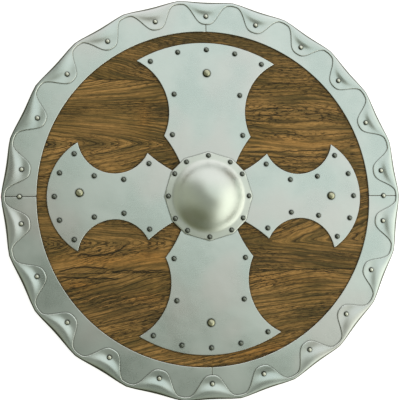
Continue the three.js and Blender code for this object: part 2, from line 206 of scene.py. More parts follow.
class Graph:
    """Builds a material's nodes, one short call for each."""

    def __init__(self, name):
        self.material = bpy.data.materials.new(name)
        self.material.use_nodes = True
        self.nodes = self.material.node_tree.nodes
        self.links = self.material.node_tree.links
        self.shader = self.nodes["Principled BSDF"]

    def put(self, socket, value):
        if isinstance(value, bpy.types.NodeSocket):
            self.links.new(value, socket)
        else:
            socket.default_value = value

    def math(self, operation, *values):
        node = self.nodes.new("ShaderNodeMath")
        node.operation = operation
        for socket, value in zip(node.inputs, values):
            self.put(socket, value)
        return node.outputs[0]

    def plus(self, first, second):
        return self.math("ADD", first, second)

    def minus(self, first, second):
        return self.math("SUBTRACT", first, second)

    def times(self, first, *others):
        for other in others:
            first = self.math("MULTIPLY", first, other)
        return first

    def place(self, stretch=(1, 1, 1), shift=(0, 0, 0)):
        """Coordinates of the piece in metres, stretched and shifted."""
        coordinates = self.nodes.new("ShaderNodeTexCoord")
        mapping = self.nodes.new("ShaderNodeMapping")
        self.links.new(coordinates.outputs["Object"], mapping.inputs["Vector"])
        mapping.inputs["Scale"].default_value = stretch
        mapping.inputs["Location"].default_value = shift
        return mapping.outputs[0]

    def axes(self):
        """The piece's own X and Y, in metres."""
        coordinates = self.nodes.new("ShaderNodeTexCoord")
        split = self.nodes.new("ShaderNodeSeparateXYZ")
        self.links.new(coordinates.outputs["Object"], split.inputs[0])
        return split.outputs["X"], split.outputs["Y"]

    def upright(self):
        """How far the surface faces up, before any bump."""
        coordinates = self.nodes.new("ShaderNodeTexCoord")
        split = self.nodes.new("ShaderNodeSeparateXYZ")
        self.links.new(coordinates.outputs["Normal"], split.inputs[0])
        return split.outputs["Z"]

    def join(self, x, y, z):
        node = self.nodes.new("ShaderNodeCombineXYZ")
        for socket, value in zip(node.inputs, (x, y, z)):
            self.put(socket, value)
        return node.outputs[0]

    def noise(self, vector, scale=1.0, detail=3.0, rough=0.5):
        node = self.nodes.new("ShaderNodeTexNoise")
        self.links.new(vector, node.inputs["Vector"])
        node.inputs["Scale"].default_value = scale
        node.inputs["Detail"].default_value = detail
        node.inputs["Roughness"].default_value = rough
        return node.outputs[0]

    def spread(self, value, low, high, to_low=0.0, to_high=1.0, smooth=True):
        """The value's stretch from low to high as to_low to to_high, and no further."""
        node = self.nodes.new("ShaderNodeMapRange")
        node.interpolation_type = "SMOOTHSTEP" if smooth else "LINEAR"
        self.put(node.inputs["Value"], value)
        ends = {"From Min": low, "From Max": high, "To Min": to_low, "To Max": to_high}
        for key, number in ends.items():
            self.put(node.inputs[key], number)
        return node.outputs[0]

    def mix(self, share, first, second):
        node = self.nodes.new("ShaderNodeMix")
        node.data_type = "RGBA"
        self.put(node.inputs["Factor"], share)
        for key, colour in (("A", first), ("B", second)):
            socket = next(s for s in node.inputs if s.name == key and s.type == "RGBA")
            if isinstance(colour, tuple):
                socket.default_value = (*colour, 1.0)
            else:
                self.links.new(colour, socket)
        return next(s for s in node.outputs if s.type == "RGBA")

    def bell(self, value, middle, spread):
        """1 at the middle, falling off smoothly over the spread on both sides."""
        off = self.math("DIVIDE", self.minus(value, middle), spread)
        return self.math("EXPONENT", self.times(off, off, -1.0))

    def crevice(self, distance, low, high):
        """0 deep in a corner and 1 out of it."""
        node = self.nodes.new("ShaderNodeAmbientOcclusion")
        node.samples = 4
        node.inputs["Distance"].default_value = distance
        return self.spread(node.outputs["AO"], low, high)

    def bump(self, height, distance, strength, under=None):
        node = self.nodes.new("ShaderNodeBump")
        self.links.new(height, node.inputs["Height"])
        node.inputs["Distance"].default_value = distance
        node.inputs["Strength"].default_value = strength
        if under is not None:
            self.links.new(under, node.inputs["Normal"])
        return node.outputs[0]

    def finish(self, colour, roughness, normal=None, metal=0.0, **plain):
        if isinstance(colour, tuple):
            colour = (*colour, 1.0)
        self.put(self.shader.inputs["Base Color"], colour)
        self.put(self.shader.inputs["Roughness"], roughness)
        self.shader.inputs["Metallic"].default_value = metal
        for key, value in plain.items():
            self.shader.inputs[key.replace("_", " ")].default_value = value
        if normal is not None:
            self.links.new(normal, self.shader.inputs["Normal"])
        return self.material


# Steel and rivet heads

WARM_TINT = (0.62, 0.58, 0.57)
SCRATCH_TINT = (0.45, 0.47, 0.45)
# Colours of painted light and shade: a bright edge that is partly real wear and partly a painted highlight,
# a near-black painted shade for faces that turn down, and painted shade for corners and round rivet heads.
WORN_EDGE_AND_HIGHLIGHT = (0.86, 0.88, 0.82)
TURNED_DOWN_SHADE = (0.075, 0.08, 0.055)
CORNER_SHADE = (0.07, 0.075, 0.06)
CORNER_REACH = 2.1 * MM
HEAD_SHADE_REACH = 1.2 * MM


def steel_material(name, light=(0.57, 0.63, 0.61), dark=(0.48, 0.55, 0.53), rough=(0.25, 0.33),
                   warmth=0.45, worn_and_highlit=False, shade_turned_down=False):
    """Satin sheet: faint clouds of tint, fine scratches, slow waves in the surface, painted shade in
    corners.

    Worn steel is bright along its rounded edges, partly real wear and partly a painted highlight, and the
    turned-down edge of the band is painted dark as shade.
    """
    g = Graph(name)
    clouds = g.noise(g.place(), scale=14, detail=3, rough=0.55)
    tint = g.mix(g.spread(clouds, 0.35, 0.68), dark, light)
    warm = g.noise(g.place(shift=(3, 1, 2)), scale=9, detail=2)
    tint = g.mix(g.spread(warm, 0.46, 0.66, 0.0, warmth), tint, WARM_TINT)
    fine = g.noise(g.place((260, 1400, 300)), detail=4, rough=0.6)
    tint = g.mix(g.spread(fine, 0.3, 0.7, 0.0, 0.10), tint, SCRATCH_TINT)
    # painted highlight, partly real wear: rounded edges, which face less straight up, are tinted brighter
    if worn_and_highlit:
        tint = g.mix(g.spread(g.upright(), 0.80, 0.97), WORN_EDGE_AND_HIGHLIGHT, tint)
    # painted shade: faces that turn down, as on the band's outer edge, are tinted nearly black
    if shade_turned_down:
        tint = g.mix(g.spread(g.upright(), 0.90, 0.96), TURNED_DOWN_SHADE, tint)
    # painted shade: steel in corners and creases is darkened
    tint = g.mix(g.crevice(CORNER_REACH, 0.50, 1.0), CORNER_SHADE, tint)
    roughness = g.spread(g.plus(clouds, g.times(fine, 0.5)), 0.5, 1.0, *rough)
    slow = g.noise(g.place(), scale=26, detail=2)
    normal = g.bump(slow, 0.5 * MM, 0.5)
    normal = g.bump(fine, 0.02 * MM, 0.35, normal)
    return g.finish(tint, roughness, normal, metal=1.0)


def head_material(name, crown, side, rough, turn):
    """A domed head, with painted light on its crown and painted shade round its edge."""
    g = Graph(name)
    grain = g.noise(g.place(), scale=900, detail=3)
    # painted light and shade: the head is lighter where it faces up and darker where it turns away
    colour = g.mix(g.spread(g.upright(), *turn), side, crown)
    tint = g.mix(g.spread(grain, 0.35, 0.7, 0.0, 0.35), colour, side)
    # painted shade round the foot of the head, where it meets the sheet
    corner = g.crevice(HEAD_SHADE_REACH, 0.4, 0.95)
    tint = g.mix(corner, tuple(channel * 0.4 for channel in side), tint)
    roughness = g.spread(grain, 0.3, 0.7, rough, rough + 0.12)
    return g.finish(tint, roughness, g.bump(grain, 0.05 * MM, 0.4), metal=1.0)


STEEL = steel_material("steel_sheet", worn_and_highlit=True)
BAND_STEEL = steel_material("steel_band", shade_turned_down=True)
BOSS_STEEL = steel_material("steel_boss", light=(0.61, 0.66, 0.61), dark=(0.56, 0.61, 0.56),
                            rough=(0.36, 0.42), warmth=0.15)
# For each head, the crown colour is a painted highlight and the side colour is painted shade; the last pair
# sets where one turns into the other.
RIM_HEAD = head_material("rim_rivet_steel", (0.74, 0.76, 0.66), (0.035, 0.04, 0.03), 0.28, (0.82, 0.98))
DARK_HEAD = head_material("dark_rivet_steel", (0.21, 0.23, 0.20), (0.012, 0.015, 0.012), 0.20, (0.80, 0.985))
BRASS_HEAD = head_material("brass", (0.50, 0.50, 0.36), (0.045, 0.05, 0.025), 0.24, (0.74, 0.95))


# Oak figure of each board, in metres. The grain runs along X. The rings fold about the heart line and
# lie flat within its depth. Each fan tilts them on one side of the middle, by one slope under its
# first height and by another over its second. The lens swells them apart about a point. The bow
# tilts them down on both sides of a place. Spots are patches of colour and calms are patches without
# lines, each given by its middle and its reach. Veins are single dark lines between two ends, with
# a sag and a half thickness.
FIGURES = {
    "board_1": dict(
        heart=0.100, depth=0.004, ring=0.0040, lines=0.8, dapple=0.35, seed=1.0,
        fans=[(-1, 0.17, 0.30, 0.26, 0.22)],
        spots=[(-0.060, 0.205, 0.060, 0.012, "dark", 0.3),
               (0.0, 0.245, 0.260, 0.032, "olive", 0.85)],
    ),
    "board_2": dict(
        heart=0.078, depth=0.0014, ring=0.0066, lines=1.0, dapple=0.0, seed=4.0,
        fans=[(-1, 0.088, 0.20, 0.172, -0.20)],
        lens=(0.160, 0.118, 0.070, 0.009),
        spots=[(-0.098, 0.122, 0.012, 0.022, "amber", 0.45),
               (-0.075, 0.133, 0.012, 0.012, "dark", 0.5),
               (-0.160, 0.098, 0.030, 0.008, "dark", 0.4),
               (-0.175, 0.082, 0.020, 0.010, "dark", 0.35),
               (0.150, 0.085, 0.070, 0.010, "amber", 0.35),
               (0.109, 0.089, 0.009, 0.0020, "dark", 0.9)],
        calms=[(0.135, 0.086, 0.070, 0.010), (-0.130, 0.120, 0.050, 0.012)],
        veins=[(0.054, 0.069, 0.200, 0.073, -0.001, 0.0008),
               (0.073, 0.059, 0.185, 0.060, 0.002, 0.0007)],
    ),
    "board_3": dict(
        heart=-0.070, depth=0.0020, ring=0.0066, lines=0.95, dapple=0.15, seed=9.0,
        fans=[(-1, -0.066, 0.22, -0.020, 0.02), (1, -0.110, -0.14, -0.020, -0.30)],
        spots=[(-0.165, -0.096, 0.060, 0.009, "amber", 0.85),
               (-0.085, -0.090, 0.030, 0.014, "amber", 0.8),
               (-0.070, -0.078, 0.012, 0.010, "light", 0.8),
               (-0.092, -0.088, 0.006, 0.006, "dark", 0.6),
               (0.120, -0.098, 0.110, 0.012, "dark", 0.5),
               (0.100, -0.052, 0.040, 0.010, "amber", 0.3)],
        calms=[(-0.165, -0.097, 0.070, 0.010), (-0.080, -0.094, 0.040, 0.016)],
        veins=[(-0.197, -0.082, -0.120, -0.070, -0.011, 0.0014),
               (-0.229, -0.113, -0.150, -0.110, 0.007, 0.0013),
               (-0.155, -0.110, -0.064, -0.110, -0.002, 0.0011)],
    ),
    "board_4": dict(
        heart=-0.330, depth=0.020, ring=0.0066, lines=1.0, dapple=0.15, seed=13.0,
        bow=(0.22, 0.170, 0.060),
        spots=[(-0.150, -0.150, 0.065, 0.020, "dark", 0.6),
               (-0.195, -0.130, 0.022, 0.006, "amber", 0.7),
               (-0.100, -0.151, 0.030, 0.006, "amber", 0.6),
               (-0.120, -0.178, 0.060, 0.012, "dark", 0.55),
               (0.110, -0.128, 0.080, 0.009, "amber", 0.35),
               (0.090, -0.236, 0.110, 0.014, "amber", 0.8),
               (0.120, -0.205, 0.040, 0.010, "dark", 0.3)],
        veins=[(-0.227, -0.118, -0.130, -0.121, -0.002, 0.0012)],
    ),
}
GRIP_FIGURE = dict(heart=-0.050, depth=0.010, ring=0.0040, lines=0.5, dapple=0.3, seed=21.0)
OAK = {
    "light": (0.400, 0.226, 0.070),
    "gold": (0.210, 0.125, 0.034),
    "amber": (0.460, 0.215, 0.048),
    "olive": (0.066, 0.054, 0.018),
    "dark": (0.013, 0.011, 0.005),
}
JOINT_EDGE = 0.9 * MM
CORNER_SHADE_DEPTH = 4.0 * MM
SLOW_WANDER = 18 * MM
SMALL_WANDER = 4.2 * MM
VEIN_WANDER = 7 * MM
FAN_BLUNT = 40 * MM
LENS_HALF = 30 * MM
HEART_EDGE = (1.5 * MM, 7.0 * MM)
FINE_RINGS = 2.7


def oak_rings(g, x, y, seed, heart, depth, fans=(), lens=None, bow=None):
    """Height over the rings, in metres, and 0 to 1 for how far off the heart line.

    Lines of the same height are the lines of the figure.
    """
    slow = g.noise(g.place((6, 16, 0), (seed, seed, 0)), detail=2)
    small = g.noise(g.place((26, 60, 0), (seed + 5, seed, 0)), detail=2)
    wander = g.plus(g.times(g.minus(slow, 0.5), SLOW_WANDER),
                    g.times(g.minus(small, 0.5), SMALL_WANDER))
    across = g.plus(g.minus(y, heart), wander)
    if bow is not None:
        slope, middle, blunt = bow
        off = g.minus(x, middle)
        off = g.math("SQRT", g.plus(g.times(off, off), blunt * blunt))
        across = g.plus(across, g.times(off, slope))
    if lens is not None:
        middle_x, middle_y, reach, swell = lens
        part = g.spread(g.minus(y, middle_y), -LENS_HALF, LENS_HALF, -swell, swell)
        across = g.minus(across, g.times(part, g.bell(x, middle_x, reach)))
    value = g.math("SQRT", g.plus(g.times(across, across), depth * depth))
    for side, low, low_slope, high, high_slope in fans:
        # distance out from near the middle on this side, and about nothing on the other
        ramp = g.plus(g.math("EXPONENT", g.times(x, side / FAN_BLUNT)), 1.0)
        out = g.times(g.math("LOGARITHM", ramp, math.e), FAN_BLUNT * side)
        slope = g.spread(y, low, high, low_slope, high_slope)
        value = g.plus(value, g.times(out, slope))
    return value, g.spread(g.math("ABSOLUTE", across), *HEART_EDGE)


def ring_lines(g, value, ring, seed, sharp):
    """1 along a thin dark line where each ring begins, fading into the ring, of its own strength."""
    rho = g.math("DIVIDE", value, ring)
    number = g.math("FLOOR", rho)
    part = g.minus(rho, number)
    node = g.nodes.new("ShaderNodeTexWhiteNoise")
    node.noise_dimensions = "1D"
    g.links.new(g.plus(number, seed), node.inputs["W"])
    chance = node.outputs["Value"]
    width = g.spread(chance, 0.0, 1.0, sharp * 0.6, sharp * 1.6, smooth=False)
    fade = g.minus(1.0, g.spread(part, 0.0, width))
    line = g.times(fade, g.spread(part, 0.0, 0.04))
    return g.times(line, g.spread(chance, 0.0, 1.0, 1.0, 0.55, smooth=False))


def vein_mask(g, x, y, ragged, vein):
    """1 on a single dark line that sags between its two ends."""
    x0, y0, x1, y1, sag, thick = vein
    t = g.math("DIVIDE", g.minus(x, x0), x1 - x0)
    rest = g.minus(1.0, t)
    height = g.plus(g.times(t, y1 - y0), y0)
    height = g.plus(height, g.times(t, rest, 4 * sag))
    shown = g.times(g.spread(t, 0.0, 0.12), g.spread(rest, 0.0, 0.12))
    return g.times(g.bell(g.plus(y, ragged), height, thick), shown)


def oak_material(name, ring, lines, dapple, seed, joints=(), spots=(), calms=(), veins=(), **figure):
    """Plain-sawn oak, stained: bands of dark pores along the rings, streaks and flecks between them."""
    g = Graph(name)
    x, y = g.axes()
    value, off_heart = oak_rings(g, x, y, seed, **figure)

    def streak(along, cross, shift, detail=3, rough=0.55):
        """Noise drawn out along the figure."""
        vector = g.join(g.times(x, along), g.times(value, cross), seed + shift)
        return g.noise(vector, detail=detail, rough=rough)

    # noises that the layers share: dense is where pores and lines are strong
    broad = streak(10, 120, 1)
    streaks = streak(20, 330, 2)
    pores = streak(105, 680, 4, detail=4, rough=0.65)
    flecks = streak(120, 430, 7, rough=0.6)
    zone = g.noise(g.place((8, 20, 0), (seed + 9, 3, 0)), detail=2)
    dense = g.spread(g.noise(g.place((9, 34, 0), (seed + 2, 8, 0)), detail=2), 0.40, 0.60, 0.35, 1.0)

    # stain: large areas, patches and streaks
    tone = g.mix(g.spread(zone, 0.35, 0.65), OAK["gold"], OAK["light"])
    tone = g.mix(g.spread(broad, 0.42, 0.60, 0.0, 0.60), tone, OAK["olive"])
    for cx, cy, rx, ry, key, share in spots:
        broken = g.spread(streaks, 0.35, 0.60, 1.0, 0.55)
        mask = g.times(g.bell(x, cx, rx), g.bell(y, cy, ry), broken, share)
        tone = g.mix(mask, tone, OAK[key])
    tone = g.mix(g.spread(streaks, 0.44, 0.64, 0.0, 0.40), tone, OAK["olive"])
    tone = g.mix(g.spread(streaks, 0.34, 0.48, 0.60, 0.0), tone, OAK["light"])

    # flecks and pores
    if dapple > 0:
        tone = g.mix(g.times(g.spread(flecks, 0.48, 0.60), dapple), tone, OAK["dark"])
    pitted = g.times(g.spread(pores, 0.49, 0.57), dense, 0.85)
    tone = g.mix(pitted, tone, OAK["dark"])

    # lines of the rings, broken by streaks and calms: fine ones off the heart, then the main ones
    shown = g.spread(streak(22, 60, 6), 0.34, 0.54, 0.70, 1.0)
    for cx, cy, rx, ry in calms:
        calm = g.times(g.bell(x, cx, rx), g.bell(y, cy, ry))
        shown = g.times(shown, g.minus(1.0, calm))
    fine = ring_lines(g, value, ring / FINE_RINGS, seed + 3, 0.42)
    fine = g.times(fine, off_heart, shown, dense, 0.72 * lines)
    tone = g.mix(fine, tone, OAK["dark"])
    line = g.times(ring_lines(g, value, ring, seed, 0.38), shown)
    tone = g.mix(g.times(line, lines), tone, OAK["dark"])

    # veins, joints and painted shade in the corners at the steel
    ragged = g.times(g.minus(g.noise(g.place((60, 10, 0))), 0.5), VEIN_WANDER)
    for vein in veins:
        tone = g.mix(vein_mask(g, x, y, ragged, vein), tone, OAK["dark"])
    for joint in joints:
        away = g.math("ABSOLUTE", g.minus(y, joint))
        tone = g.mix(g.spread(away, 0.3 * JOINT_EDGE, JOINT_EDGE, 0.85, 0.0), tone, OAK["dark"])
    # painted shade: wood in the corners against the steel is darkened
    corner = g.crevice(CORNER_SHADE_DEPTH, 0.55, 1.0)
    tone = g.mix(corner, tuple(channel * 0.3 for channel in OAK["dark"]), tone)

    # pores and lines are sunk
    height = g.minus(g.times(pores, -1.0), g.times(line, 0.8))
    roughness = g.spread(pores, 0.3, 0.7, 0.45, 0.65)
    return g.finish(tone, roughness, g.bump(height, 0.3 * MM, 0.8), Specular_IOR_Level=0.16)


GRIP_WOOD = oak_material("grip_oak", **GRIP_FIGURE)


# Meshes

def add_piece(name, vertices, faces, material, slot, *nodes):
    """A mesh object on the one body, standing for CAD nodes."""
    mesh = bpy.data.meshes.new(name)
    mesh.from_pydata([tuple(v) for v in vertices], [], faces)
    mesh.materials.append(material)
    mesh.update()
    mesh.shade_smooth()
    piece = bpy.data.objects.new(name, mesh)
    bpy.context.scene.collection.objects.link(piece)
    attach(piece, "root")
    if nodes:
        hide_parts(*nodes)
    return piece


def loft(rows, closed_rows=True, closed_columns=True):
    """Vertices and quads of a surface through rows of points, each row with as many points."""
    rows = [list(row) for row in rows]
    count = len(rows[0])
    vertices = [point for row in rows for point in row]
    faces = []
    for i in range(len(rows) if closed_rows else len(rows) - 1):
        j = (i + 1) % len(rows)
        for a in range(count if closed_columns else count - 1):
            b = (a + 1) % count
            faces.append((i * count + a, i * count + b, j * count + b, j * count + a))
    return vertices, faces


def flat_sheet(name, outline, node):
    """A flat steel sheet on the boards, with rounded edges, standing for a CAD node."""
    data = bpy.data.curves.new(name, "CURVE")
    data.dimensions = "2D"
    data.fill_mode = "BOTH"
    spline = data.splines.new("POLY")
    spline.points.add(len(outline) - 1)
    for point, (x, y) in zip(spline.points, outline):
        point.co = (x, y, 0.0, 1.0)
    spline.use_cyclic_u = True
    data.bevel_depth = EDGE_ROUND
    data.bevel_resolution = 2
    data.offset = -EDGE_ROUND
    data.extrude = (PLATE_TOP - PLATE_BOTTOM) / 2 - EDGE_ROUND
    helper = bpy.data.objects.new(name + "_outline", data)
    bpy.context.scene.collection.objects.link(helper)
    graph = bpy.context.evaluated_depsgraph_get()
    mesh = bpy.data.meshes.new_from_object(helper.evaluated_get(graph))
    mesh.transform(Matrix.Translation((0, 0, (PLATE_TOP + PLATE_BOTTOM) / 2)))
    bpy.data.objects.remove(helper)
    weld(mesh)
    mesh.materials.clear()
    mesh.materials.append(STEEL)
    mesh.shade_smooth()
    piece = bpy.data.objects.new(name, mesh)
    even = piece.modifiers.new("even_shading", "WEIGHTED_NORMAL")
    even.mode = "FACE_AREA"
    even.weight = 100
    bpy.context.scene.collection.objects.link(piece)
    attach(piece, "root")
    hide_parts(node)


WELD_REACH = 0.001 * MM


def weld(mesh):
    """Joins points that coincide and turns all faces outwards."""
    shape = bmesh.new()
    shape.from_mesh(mesh)
    bmesh.ops.remove_doubles(shape, verts=shape.verts, dist=WELD_REACH)
    bmesh.ops.recalc_face_normals(shape, faces=shape.faces)
    shape.to_mesh(mesh)
    shape.free()


def polar(radius, angle):
    """The point at a distance and a direction from the middle."""
    return Vector((radius * math.cos(angle), radius * math.sin(angle)))


def arc_of(a, b, c):
    """The arc from a to c through b: its middle, radius, first angle and sweep."""
    ab, ac = b - a, c - a
    cross = 2 * (ab.x * ac.y - ab.y * ac.x)
    centre = a + Vector(((ac.y * ab.length_squared - ab.y * ac.length_squared) / cross,
                         (ab.x * ac.length_squared - ac.x * ab.length_squared) / cross))
    first = math.atan2(a.y - centre.y, a.x - centre.x)
    sweep = math.atan2(c.y - centre.y, c.x - centre.x) - first
    if cross > 0 and sweep < 0:
        sweep += 2 * math.pi
    if cross < 0 and sweep > 0:
        sweep -= 2 * math.pi
    return centre, (a - centre).length, first, sweep


ARC_STEPS = 40


def arc_points(a, b, c):
    """Points along the arc from a to c through b, without the last."""
    centre, radius, first, sweep = arc_of(a, b, c)
    return [centre + polar(radius, first + sweep * i / ARC_STEPS) for i in range(ARC_STEPS)]


def turned(name, profile, place, material, slot, *nodes, sides=SMALL_SIDES):
    """A round piece about an upright line, from a closed profile of radius and height."""
    rows = []
    for radius, height in profile:
        points = [polar(radius, 2 * math.pi * i / sides) for i in range(sides)]
        rows.append([(place.x + point.x, place.y + point.y, height) for point in points])
    vertices, faces = loft(rows, closed_rows=False)
    for row, flip in ((0, True), (len(rows) - 1, False)):
        ring = [row * sides + i for i in range(sides)]
        faces.append(tuple(reversed(ring)) if flip else tuple(ring))
    add_piece(name, vertices, faces, material, slot, *nodes)


# Rim

def wave_radius(angle):
    """Radius of the band's wavy inner edge."""
    middle = FLAT_RADIUS - (LOBE_WIDTH + TROUGH_WIDTH) / 2
    swing = (LOBE_WIDTH - TROUGH_WIDTH) / 2
    wave = math.cos(LOBES * (angle - math.pi / 2))
    return middle - swing * wave * (1 + WAVE_SQUARENESS * (1 - wave * wave))


def outer_radius(angle):
    """Radius of the band's outer edge, with a corner at each trough and a shallow dent at each lobe."""
    turn = (angle - math.pi / 2 + PITCH / 2) % PITCH - PITCH / 2
    dent = LOBE_DENT * (1 + math.cos(LOBES * turn)) / 2
    blunt = CORNER_DENT * max(0.0, abs(turn) / (PITCH / 2) - CORNER_START) / (1 - CORNER_START)
    return FLAT_RADIUS / math.cos(turn) - dent - blunt


def add_band():
    """The upper rim layer, pulled down by its rivets, so that it swells near the outer edge."""
    rows = []
    count = LOBES * BAND_STEPS
    for i in range(count):
        angle = math.pi / 2 + 2 * math.pi * i / count
        # 1 at the middle of a lobe and 0 at the middle of a trough
        lobe = (1 + math.cos(LOBES * (angle - math.pi / 2))) / 2
        rows.append([(radius * math.cos(angle), radius * math.sin(angle), height)
                     for radius, height in band_profile(angle, lobe)])
    vertices, faces = loft(rows)
    faces = [tuple(reversed(face)) for face in faces]
    band = add_piece("rim_band_sheet", vertices, faces, BAND_STEEL, "steel", "rim_band")
    band.data.materials.append(STEEL)
    columns = len(rows[0])
    for i, face in enumerate(band.data.polygons):
        face.material_index = 1 if i % columns < EDGE_FACES else 0


def crest(radius, flat_end, lobe):
    """How far the band's top stands above the plain height at a radius."""
    ridge = CREST_HEIGHT * math.exp(-((radius - flat_end) / CREST_WIDTH) ** 2)
    dip = DIP_DEPTH * math.exp(-((radius - RIM_RIVET_RADIUS) / DIP_WIDTH) ** 2)
    return (TROUGH_CREST + (1 - TROUGH_CREST) * lobe ** 1.5) * ridge - lobe ** 3 * dip


def band_profile(angle, lobe):
    """The band's section, over its outer face from the wavy edge to the fold and back inside."""
    outer = outer_radius(angle)
    wave = min(wave_radius(angle), outer - LEAST_TOP)
    start = wave + EDGE_ROUND
    narrow, wide = SHOULDER_WIDTH
    shoulder = min(narrow + (wide - narrow) * lobe, outer - start - LEAST_FLAT)
    flat_end = outer - shoulder
    top = BAND_TOP + crest(flat_end, flat_end, lobe)
    fall = top - BAND_TOP + SHOULDER_DROP
    fold = CORNER_RADIUS - FOLD_WIDTH

    def across_top(height, steps):
        for i in steps:
            radius = start + (flat_end - start) * i / TOP_STEPS
            yield radius, height + crest(radius, flat_end, lobe)

    def round_shoulder(inset, steps):
        for i in steps:
            turn = math.pi / 2 * i / SHOULDER_STEPS
            yield (flat_end + (shoulder - inset) * math.sin(turn),
                   top - inset - (fall - inset) * (1 - math.cos(turn)))

    def round_heel(inset, steps):
        middle = outer - HEEL_RADIUS
        for i in steps:
            turn = math.pi / 2 * i / HEEL_STEPS
            yield (middle + (HEEL_RADIUS - inset) * math.cos(turn),
                   HEEL_RADIUS - (HEEL_RADIUS - inset) * math.sin(turn))

    return [(wave, BAND_BOTTOM), (wave, BAND_TOP - EDGE_ROUND),
            (wave + EDGE_ROUND * EDGE_MIDDLE, BAND_TOP - EDGE_ROUND * EDGE_MIDDLE),
            *across_top(BAND_TOP, range(TOP_STEPS + 1)),
            *round_shoulder(0.0, range(1, SHOULDER_STEPS + 1)),
            *round_heel(0.0, range(HEEL_STEPS + 1)),
            (fold, 0.0), (fold, SHEET),
            *round_heel(SHEET, range(HEEL_STEPS, -1, -1)),
            *round_shoulder(SHEET, range(SHOULDER_STEPS, 0, -1)),
            *across_top(BAND_BOTTOM, range(TOP_STEPS, 0, -2))]


def add_rim_plates():
    """The lower rim layer in four quarters, with a fine open joint between them."""
    for quarter, name in enumerate(("upper_right", "upper_left", "lower_left", "lower_right")):
        start = quarter * math.pi / 2
        outline = []
        for radius, order in ((RIM_PLATE_OUTER, 1), (RIM_PLATE_INNER, -1)):
            edge = math.asin(RIM_PLATE_JOINT / radius)
            step = (math.pi / 2 - 2 * edge) / RIM_PLATE_STEPS
            angles = [start + edge + step * i for i in range(RIM_PLATE_STEPS + 1)]
            outline += [tuple(polar(radius, angle)) for angle in angles[::order]]
        flat_sheet("rim_plate_%s_sheet" % name, outline, "rim_plate_" + name)


# Cross and rivets

def plate_side(plate, sign):
    """The outline's points on one side of a cross plate that points along X."""
    tip = Vector((plate["reach"] - plate["tip"][1], sign * plate["tip"][0]))
    cusp = Vector((FLANGE_RADIUS + plate["cusp"][1], sign * plate["cusp"][0]))
    along = cusp.x + (tip.x - cusp.x) * plate["waist"][1]
    return {
        "tip": tip, "cusp": cusp,
        "waist": Vector((along, sign * plate["waist"][0])),
        "hollow": Vector((FLANGE_RADIUS + plate["hollow"][1], sign * plate["hollow"][0])),
        "tuck": polar(PLATE_INNER, sign * math.radians(plate["tuck"])),
    }


def add_cross_plate(name, plate, turn):
    """One plate of the cross and its small rivet heads."""
    right, left = plate_side(plate, -1), plate_side(plate, 1)
    top = Vector((plate["reach"], 0))
    inner = Vector((PLATE_INNER, 0))
    outline = (arc_points(right["tip"], top, left["tip"])
               + arc_points(left["tip"], left["waist"], left["cusp"])
               + arc_points(left["cusp"], left["hollow"], left["tuck"])
               + arc_points(left["tuck"], inner, right["tuck"])
               + arc_points(right["tuck"], right["hollow"], right["cusp"])
               + arc_points(right["cusp"], right["waist"], right["tip"]))
    spin = Matrix.Rotation(turn, 2)
    flat_sheet("cross_plate_%s_sheet" % name, [tuple(spin @ p) for p in outline], "cross_plate_" + name)
    places = plate_rivets(plate, right, top, left)
    for i, place in enumerate(places):
        head_only("plate_rivet_%s_%02d" % (name, i + 1), spin @ place)


def plate_rivets(plate, right, top, left):
    """Places of the small rivets: along the outer edge, then in pairs down the sides."""
    centre, radius, first, sweep = arc_of(right["tip"], top, left["tip"])
    places = []
    for i in range(EDGE_RIVETS):
        share = 0.5 + EDGE_RIVET_SPREAD * (i / (EDGE_RIVETS - 1) - 0.5)
        places.append(centre + polar(radius - EDGE_RIVET_INSET, first + sweep * share))
    for point, outwards, inset in plate["sides"]:
        for side, sign in ((left, 1), (right, -1)):
            places.append(side[point] + Vector((outwards, -sign * inset)))
    return places


def rivet_profile(rivet, seat):
    """From the peened tail up the shank and over the domed head."""
    head, height, shank, tail = rivet
    under = seat + HEAD_GAP
    profile = [(TAIL_TIP * tail, BOARD_BOTTOM - TAIL_GAP - TAIL_HEIGHT),
               (TAIL_TAPER * tail, BOARD_BOTTOM - TAIL_HEIGHT),
               (tail, BOARD_BOTTOM - TAIL_EDGE), (tail, BOARD_BOTTOM - TAIL_GAP),
               (shank, BOARD_BOTTOM - TAIL_GAP), (shank, under),
               (HEAD_FOOT * head, under), (head, under + HEAD_RIM)]
    for i in range(1, HEAD_STEPS):
        angle = math.pi / 2 * i / HEAD_STEPS
        profile.append((head * math.cos(angle), under + HEAD_RIM + (height - HEAD_RIM) * math.sin(angle)))
    profile.append((HEAD_TOP * head, under + height))
    return profile


def head_only(name, place):
    """A small domed head on a cross plate, sunk a little into it."""
    profile = [(r, z) for r, z in rivet_profile(SMALL_RIVET, PLATE_TOP) if z > PLATE_TOP]
    sunk = [(SMALL_RIVET[0] * HEAD_FOOT, PLATE_TOP - HEAD_SINK)] + profile[1:]
    turned(name, sunk, place, DARK_HEAD, "dark_rivet_steel")


def boss_rivet_angles():
    """One corner of the flange towards each arm and one on each side of it."""
    sides = (-SIDE_RIVET_TURN, 0, SIDE_RIVET_TURN)
    return [quarter * math.pi / 2 + side for quarter in range(4) for side in sides]


